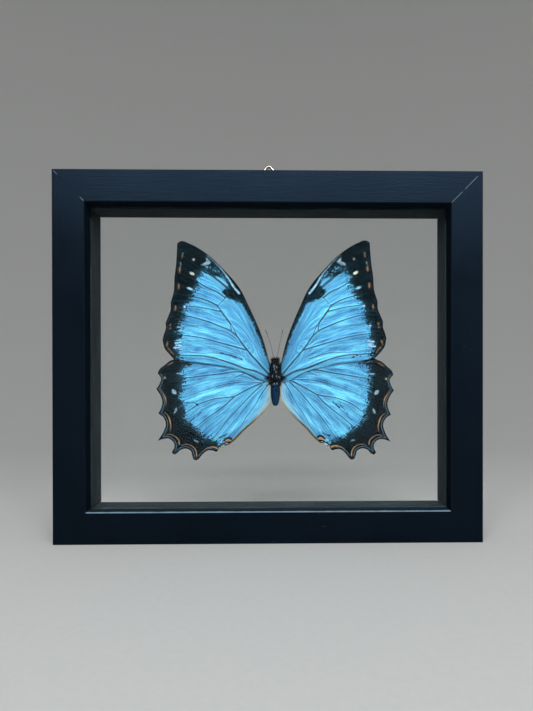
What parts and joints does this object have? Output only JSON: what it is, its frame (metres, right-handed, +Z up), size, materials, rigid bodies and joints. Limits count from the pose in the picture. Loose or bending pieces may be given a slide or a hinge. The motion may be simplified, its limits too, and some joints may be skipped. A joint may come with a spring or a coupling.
{
  "type": "framed butterfly specimen",
  "caption": "Large blue butterfly floating between clear panes in a mitred black wooden frame with a wire hanging loop; stands on its bottom rail or hangs on a nail.",
  "frame": {"origin": "centre of the bottom rail's underside, at the middle of the frame's depth", "axes": "+X to the right as seen from the front, along the frame's width; +Y from the front to the back; +Z up"},
  "size_m": [0.19, 0.033, 0.1795],
  "materials": {
    "black_paint": "satin black paint over wood",
    "glass": "clear polished",
    "spacer": "matte dark grey",
    "wire": "plated, slightly dulled",
    "wing": "iridescent satin scales, blue with a black border",
    "insect_body": "dark hairy chitin",
    "glue": "clear dried glue"
  },
  "bodies": {
    "root": {"rail_top": "black_paint", "rail_bottom": "black_paint", "rail_left": "black_paint", "rail_right": "black_paint", "pane_front": "glass", "pane_back": "glass", "spacer_top": "spacer", "spacer_bottom": "spacer", "spacer_left": "spacer", "spacer_right": "spacer", "bead_top": "black_paint", "bead_bottom": "black_paint", "bead_left": "black_paint", "bead_right": "black_paint", "hanger_loop": "wire", "hanger_strap": "wire", "hanger_screw": "wire", "forewing_left": "wing", "forewing_right": "wing", "hindwing_left": "wing", "hindwing_right": "wing", "body": "insect_body", "antenna_left": "insect_body", "antenna_right": "insect_body", "glue_dot": "glue"}
  },
  "joints": []
}
